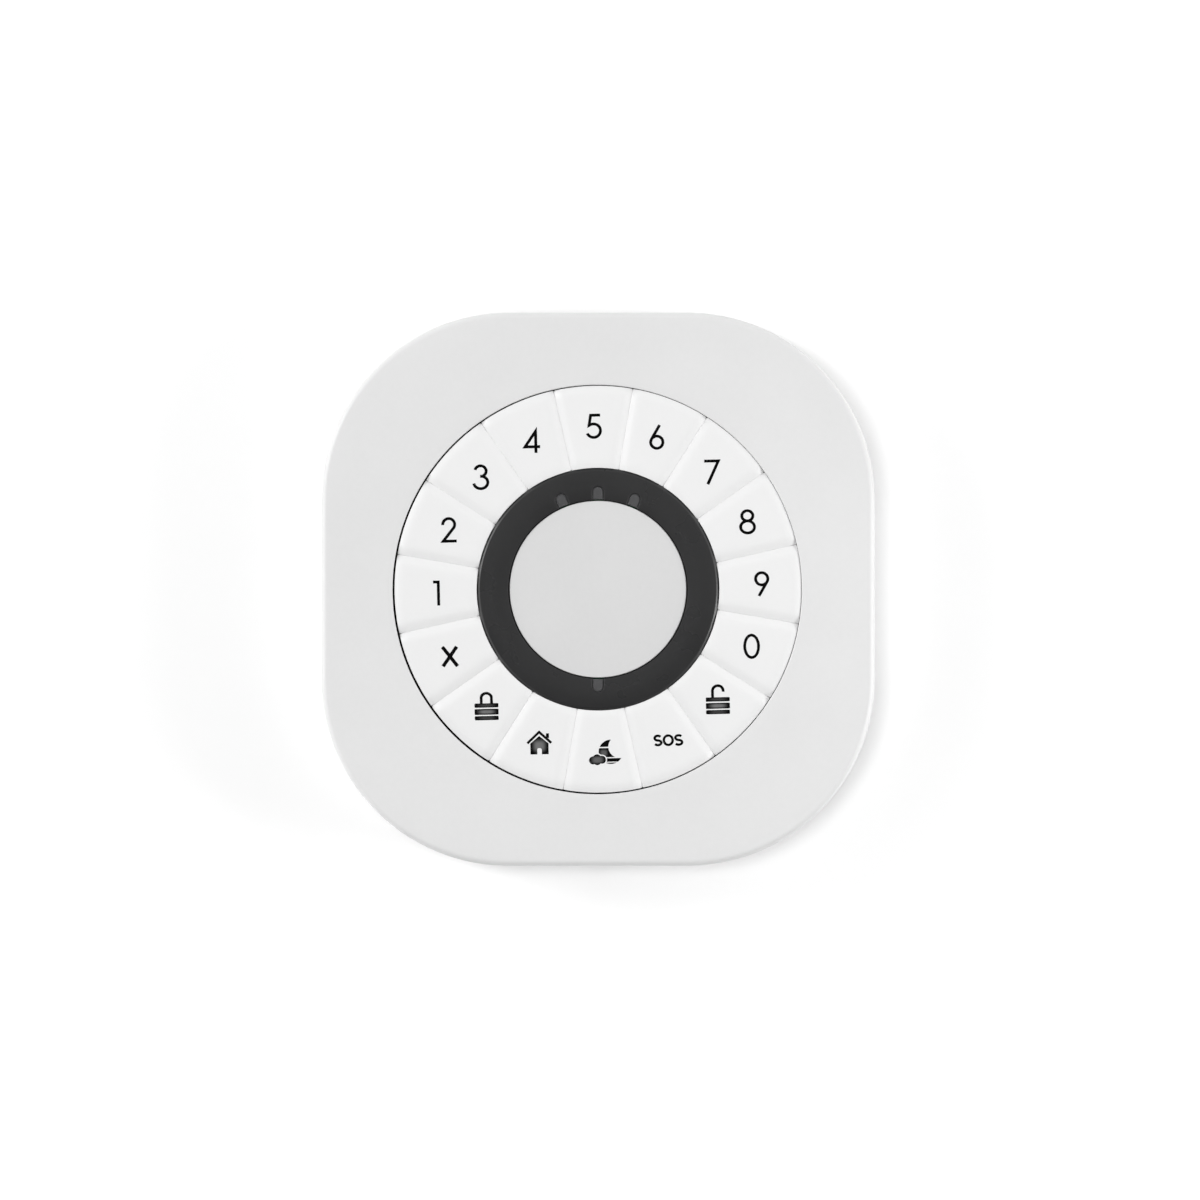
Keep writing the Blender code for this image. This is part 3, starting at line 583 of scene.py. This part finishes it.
def round_rim(obj, level, width):
    """Rounds the edges of a plain object that lie on one level."""
    bm = bmesh.new()
    bm.from_mesh(obj.data)
    rim = [edge for edge in bm.edges if all(abs(end.co.y + level * MM) < 1e-7 for end in edge.verts)]
    bmesh.ops.bevel(bm, geom=rim, offset=width * MM, segments=3, affect="EDGES", clamp_overlap=True)
    bm.to_mesh(obj.data)
    bm.free()


def combine(obj, operation, tool):
    """Adds a Boolean with a plain object, which apply_modifiers takes away again."""
    modifier = obj.modifiers.new(tool.name, "BOOLEAN")
    modifier.operation = operation
    modifier.object = tool


def apply_modifiers(obj):
    """Puts an object's Booleans into its mesh and removes the objects they used."""
    tools = [modifier.object for modifier in obj.modifiers]
    graph = bpy.context.evaluated_depsgraph_get()
    mesh = bpy.data.meshes.new_from_object(obj.evaluated_get(graph))
    obj.modifiers.clear()
    obj.data = mesh
    smooth(mesh, 40.0)
    for tool in tools:
        bpy.data.objects.remove(tool)


def make_cover():
    """The pale disc, which almost touches the ring."""
    top = COVER_HIGH.z
    edge = COVER_R + COVER_GROWTH
    profile = [(0.0, top)]
    profile += [(edge - inset, top - drop) for inset, drop in quarter(COVER_EDGE_R, 5)]
    profile += [(edge, COVER_LOW.z), (0.0, COVER_LOW.z)]
    turned("reader_disc", profile, DISC_GREY, ["reader_cover"])


# Legends, drawn as outlines in millimetres about each legend's centre


def arc(centre, radius, start, end, steps=None):
    """Points of an arc from start to end degrees. radius is a number or (across, up)."""
    across, up = radius if isinstance(radius, tuple) else (radius, radius)
    steps = steps or max(3, int(abs(end - start) / 9))
    points = []
    for step in range(steps + 1):
        angle = math.radians(start + (end - start) * step / steps)
        points.append((centre[0] + across * math.cos(angle), centre[1] + up * math.sin(angle)))
    return points


def stroke(path, width=STROKE):
    """The outline of a pen stroke along a path, mitred at its corners and square at its ends."""
    left = []
    right = []
    for number, (x, y) in enumerate(path):
        before = path[max(number - 1, 0)]
        after = path[min(number + 1, len(path) - 1)]
        arriving = Vector((x - before[0], y - before[1]))
        leaving = Vector((after[0] - x, after[1] - y))
        arriving = (arriving if arriving.length else leaving).normalized()
        leaving = (leaving if leaving.length else arriving).normalized()
        along = (arriving + leaving).normalized()
        reach = width / 2 / max(along.dot(leaving), 0.3)
        side = Vector((-along.y, along.x)) * reach
        left.append((x + side.x, y + side.y))
        right.append((x - side.x, y - side.y))
    return left + right[::-1]


def loop(centre, radius, width=STROKE):
    """A closed ring as a pair: its outer outline, then the hole."""
    across, up = radius if isinstance(radius, tuple) else (radius, radius)
    outer = arc(centre, (across + width / 2, up + width / 2), 0, 360, 48)[:-1]
    hole = arc(centre, (across - width / 2, up - width / 2), 0, 360, 48)[:-1]
    return outer, hole


def bar(left, right, bottom, top, corner):
    """An upright box with rounded corners."""
    points = []
    for number, (x, y) in enumerate(((right, top), (left, top), (left, bottom), (right, bottom))):
        inset_x = -corner if x == right else corner
        inset_y = -corner if y == top else corner
        start = 90 * number
        points += arc((x + inset_x, y + inset_y), corner, start, start + 90, 3)
    return points


def disc(centre, radius, steps=40):
    return arc(centre, radius, 0, 360, steps)[:-1]


def digit_paths():
    """For each legend: (outlines to add, outlines to take away)."""
    six_loop = loop((0.0, -1.15), 1.38)
    six_stem = stroke([(-1.2, -0.47), (0.72, 2.72)])
    nine_loop = loop((0.0, 1.15), 1.38)
    nine_stem = stroke([(1.2, 0.47), (-0.72, -2.72)])
    upper_loop = loop((0.0, 1.37), (1.25, 1.15))
    lower_loop = loop((0.0, -1.16), (1.56, 1.36))
    zero_loop = loop((0.0, 0.0), (1.56, 2.52))
    two = arc((0.0, 1.25), 1.35, 184, -32) + [(-1.32, -2.5), (1.72, -2.5)]
    three_top = arc((-0.05, 1.38), (1.27, 1.2), 165, -92)
    three_bottom = arc((-0.05, -1.18), (1.6, 1.4), 94, -172)
    five = [(1.42, 2.5), (-0.72, 2.5), (-1.12, 0.2)] + arc((-0.12, -1.0), (1.55, 1.52), 118, -158)
    cross = 2.2
    letter_s = arc((0.0, 0.53), (0.72, 0.53), 32, 270, 14)
    letter_s += arc((0.0, -0.53), (0.78, 0.53), 90, -148, 14)[1:]
    thin = 0.55
    letters = {}
    for side in (-1, 1):
        letters[side] = stroke([(x + side * 2.35, y) for x, y in letter_s], thin)
    letter_o = loop((0.0, 0.0), (1.0, 1.06), thin)
    return {
        "5": ([stroke(five)], []),
        "4": ([stroke([(0.85, -2.6), (0.85, 2.3), (-1.6, -1.2), (1.8, -1.2)])], []),
        "3": ([stroke(three_top), stroke(three_bottom)], []),
        "2": ([stroke(two)], []),
        "1": ([stroke([(-0.85, 2.52), (0.32, 2.52), (0.32, -2.8)])], []),
        "cancel": (
            [stroke([(-1.65, cross), (1.7, -cross)], 0.8), stroke([(1.6, cross), (-1.6, -cross)], 0.8)],
            [],
        ),
        "sos": ([letters[-1], letters[1], letter_o[0]], [letter_o[1]]),
        "0": ([zero_loop[0]], [zero_loop[1]]),
        "9": ([nine_loop[0], nine_stem], [nine_loop[1]]),
        "8": ([upper_loop[0], lower_loop[0]], [upper_loop[1], lower_loop[1]]),
        "7": ([stroke([(-1.7, 2.5), (1.5, 2.5), (-1.0, -2.75)])], []),
        "6": ([six_loop[0], six_stem], [six_loop[1]]),
    }


def icon_outlines():
    """For each icon: pieces as (outlines to add, outlines to take away, paler middle or None).

    A paler middle is its centre, its reach and how many times paler than the ink it gets.
    """
    closed_shackle = [(-1.16, 0.86)] + arc((0.0, 2.15), (1.16, 1.0), 180, 0, 14) + [(1.16, 0.86)]
    open_shackle = [(-1.16, 0.86)] + arc((0.05, 2.35), (1.21, 1.15), 180, -12, 16)
    icons = {}
    for name, shackle in (("arm_away", closed_shackle), ("disarm", open_shackle)):
        icons[name] = [([stroke(shackle, 0.62)], [], None)]
        for bottom, top, paler in ((-0.08, 0.88, 20.0), (-1.7, -0.38, 70.0), (-2.92, -1.98, 20.0)):
            middle = ((0.0, (bottom + top) / 2), (2.75, (top - bottom) / 2 + 0.02))
            icons[name].append(([bar(-2.7, 2.7, bottom, top, 0.2)], [], (*middle, paler)))

    house = [(-2.05, -2.65), (2.05, -2.65), (2.05, -0.2), (0.0, 1.5), (-2.05, -0.2)]
    door = bar(-0.53, 0.53, -3.2, -1.25, 0.4)
    roof = stroke([(-2.7, -0.12), (0.0, 2.38), (2.7, -0.12)], 0.55)
    chimney = bar(1.55, 2.2, 1.0, 2.05, 0.05)
    icons["arm_home"] = [([house], [door], ((0.0, -0.75), (2.1, 2.0), 70.0)), ([roof, chimney], [], None)]

    moon_centre = (1.25, 0.25)
    cloud_lobes = [((-2.8, -1.6), 0.9), ((-1.9, -1.25), 1.0), ((-0.8, -1.5), 0.9), ((-1.85, -1.85), 0.85)]
    cloud = [disc(centre, radius) for centre, radius in cloud_lobes]
    cloud_gap = [disc(centre, radius + 0.26) for centre, radius in cloud_lobes]
    stripes = [bar(-6, 6, 1.12, 1.4, 0.01), bar(-6, 6, -1.2, -0.95, 0.01), bar(-6, 6, -2.2, -1.99, 0.01)]
    moon = disc(moon_centre, 2.74, 64)
    bite = disc((moon_centre[0] + 1.95, moon_centre[1] + 1.1), 2.5, 64)
    icons["arm_night"] = [
        (cloud, [], ((-1.8, -1.5), (1.95, 1.2), 50.0)),
        ([moon], [bite, *stripes, *cloud_gap], ((-0.35, 0.05), (1.25, 1.1), 45.0)),
    ]
    return icons


def faded_ink(name, centre, reach, gain):
    """Legend ink that is gain times paler round one place, as where a backlight shows through it.

    The paler place is a box with very round corners, reach wide and high each way from its centre.
    """
    material = INK.copy()
    material.name = f"ink_{name}"
    tree = material.node_tree
    places = tree.nodes["Texture Coordinate"].outputs["Object"]
    parts = add_node(tree, "ShaderNodeSeparateXYZ", Vector=places)
    powers = []
    for axis, middle, half in zip("XZ", centre, reach):
        offset = calculate(tree, "MULTIPLY_ADD", parts.outputs[axis], 1.0 / (half * MM), -middle / half)
        powers.append(calculate(tree, "POWER", calculate(tree, "ABSOLUTE", offset), 3.0))
    distance = calculate(tree, "POWER", calculate(tree, "ADD", *powers), 1 / 3)
    fade = remap(tree, distance, 1.0, gain, source=(0.9, 0.25), smooth=True)
    base = tree.nodes["Principled BSDF"].inputs["Base Color"]
    tree.links.new(scaled_colour(tree, base.links[0].from_socket, fade), base)
    return material


def ink_object(name, added, removed):
    """The union of some outlines less others, as one thin slab."""
    slab = prism(name, added[0], 0.0, INK_THICK)
    for number, outline in enumerate(added[1:]):
        combine(slab, "UNION", prism(f"{name}_add_{number}", outline, 0.0, INK_THICK))
    for number, outline in enumerate(removed):
        combine(slab, "DIFFERENCE", prism(f"{name}_cut_{number}", outline, -1.0, 1.0))
    apply_modifiers(slab)
    return slab


def place_ink(obj, key, number, material):
    """Lays a legend on its key: upright like the key ring, and leaning as the key does."""
    obj.data.materials.append(material)
    angle = key_angle(number)
    across, up = LEGEND_SHIFTS.get(key.removeprefix("key_"), (0.0, 0.0))
    across += LEGEND_R * math.cos(angle)
    up += LEGEND_R * math.sin(angle)
    stand = Matrix.Translation(point(across, up, key_height(math.hypot(across, up)) + INK_LIFT))
    tangent = point(-math.sin(angle), math.cos(angle), 0.0)
    lean = Matrix.Rotation(KEY_LEAN, 4, tangent)
    turn = Matrix.Rotation(-KEY_RING_TURN, 4, "Y")
    obj.matrix_world = stand @ lean @ turn
    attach(obj, key)


def make_legends():
    digits = digit_paths()
    icons = icon_outlines()
    for number, key in enumerate(KEY_NAMES):
        legend = key.replace("key_", "")
        if legend in digits:
            added, removed = digits[legend]
            place_ink(ink_object(f"legend_{legend}", added, removed), key, number, INK)
            continue
        for part, (added, removed, paler) in enumerate(icons[legend]):
            name = f"legend_{legend}_{part}"
            material = faded_ink(name, *paler) if paler else INK
            place_ink(ink_object(name, added, removed), key, number, material)


# CAD nodes that keep their shape


def repaint():
    """Gives each node the material its name starts with here. The rest is plated steel."""
    paints = {
        "rear_housing": WHITE, "battery_cover": WHITE, "wall_bracket": BRACKET_WHITE,
        "hub_frame": BRACKET_WHITE, "tamper_plunger": BRACKET_WHITE, "key_membrane": SILICONE,
        "main_board": BOARD_GREEN, "controller_chip": BLACK, "buzzer": BLACK, "tamper_switch": BLACK,
        "reader_coil": COPPER, "led_": LED_CLEAR, "battery_upper": CELL_JACKET,
        "battery_lower": CELL_JACKET,
    }
    for name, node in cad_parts.items():
        material = next((paints[start] for start in paints if name.startswith(start)), STEEL)
        node.data.materials.clear()
        node.data.materials.append(material)


# Stage, light and camera


def make_stage():
    """A pale wall behind the panel, which glows a little so that it stays bright round the panel."""
    bm = bmesh.new()
    corners = [(-1, -1), (1, -1), (1, 1), (-1, 1)]
    bm.faces.new([bm.verts.new(point(x * WALL_REACH, y * WALL_REACH, -WALL_GAP)) for x, y in corners])
    wall = object_from("wall", bm)
    paint = moulded(
        "wall_paint", (0.86, 0.86, 0.86), 0.9, 0.002, 0.00001, 0.002,
        Emission_Color=(1.0, 1.0, 1.0, 1.0), Emission_Strength=0.135,
    )
    wall.data.materials.append(paint)
    return wall


def area_light(name, place, size, power, glossy=True):
    """A round lamp aimed at the panel. Without glossy it gives no reflections."""
    data = bpy.data.lights.new(name, "AREA")
    data.shape = "DISK"
    data.size = size
    data.energy = power
    light = new_object(name, data)
    light.location = place
    light.rotation_euler = (-light.location).to_track_quat("-Z", "Y").to_euler()
    light.visible_glossy = glossy


def make_light():
    world = bpy.data.worlds.new("studio")
    bpy.context.scene.world = world
    world.use_nodes = True
    tree = world.node_tree
    background = tree.nodes["Background"]
    background.inputs["Color"].default_value = (1.0, 1.0, 1.0, 1.0)

    # Brighter to both sides than in front, as between two large soft boxes, a little brighter to the left
    # and above, and dimmer behind the wall
    directions = tree.nodes.new("ShaderNodeTexCoord").outputs["Generated"]
    towards = add_node(tree, "ShaderNodeSeparateXYZ", Vector=directions)
    aside = calculate(tree, "ABSOLUTE", towards.outputs["X"])
    boxes = remap(tree, aside, FRONT_GLOW, SIDE_GLOW, source=(0.3, 0.95), smooth=True)
    balance = calculate(tree, "MULTIPLY_ADD", towards.outputs["X"], -LEFT_BIAS, 1.0)
    sides = calculate(tree, "MULTIPLY", boxes, balance)
    rise = calculate(tree, "MAXIMUM", towards.outputs["Z"], LOWEST_RISE)
    lifted = calculate(tree, "MULTIPLY_ADD", rise, TOP_GLOW, sides)
    behind = calculate(tree, "GREATER_THAN", towards.outputs["Y"], 0.0)
    dimming = calculate(tree, "MULTIPLY_ADD", behind, -BACK_DIM, 1.0)
    dimmed = calculate(tree, "MULTIPLY", lifted, dimming)

    # The camera sees an even backdrop in its place
    seen = tree.nodes.new("ShaderNodeLightPath").outputs["Is Camera Ray"]
    backdrop = calculate(tree, "MULTIPLY", seen, BACKDROP)
    unseen = calculate(tree, "SUBTRACT", 1.0, seen)
    strength = calculate(tree, "MULTIPLY_ADD", dimmed, unseen, backdrop)
    tree.links.new(strength, background.inputs["Strength"])

    area_light("key_light", (-1.25, -0.85, 0.45), 0.5, 6.4)
    area_light("right_light", (0.62, -0.3, -0.1), 0.3, 2.0)
    area_light("shadow_light", (-0.16, -1.5, 0.0), 0.32, 8.0, glossy=False)
    area_light("back_light", (-0.4, 1.4, 0.9), 0.6, 15.0)


def make_camera():
    """A long lens, square to the panel."""
    camera = new_object("camera", bpy.data.cameras.new("camera"))
    camera.data.lens = camera.data.sensor_width * CAMERA_DISTANCE / VIEW_WIDTH
    camera.location = (VIEW_MIDDLE[0], -CAMERA_DISTANCE - FRONT_Z * MM, VIEW_MIDDLE[1])
    camera.rotation_euler = (math.pi / 2, 0.0, 0.0)
    bpy.context.scene.camera = camera
    return camera


def hide_from_behind(wall, camera):
    """Hides the wall whenever the camera is behind it, so that the panel's back can be seen."""
    driver = wall.driver_add("hide_render").driver
    driver.type = "SCRIPTED"
    variable = driver.variables.new()
    variable.name = "depth"
    variable.type = "TRANSFORMS"
    variable.targets[0].id = camera
    variable.targets[0].transform_type = "LOC_Y"
    driver.expression = "depth > 0.0"


make_front_shell()
make_gap_shade_ring()
make_keys()
make_ring()
make_cover()
make_legends()
repaint()
hide_from_behind(make_stage(), make_camera())
make_light()
bpy.context.scene.view_settings.view_transform = "Standard"
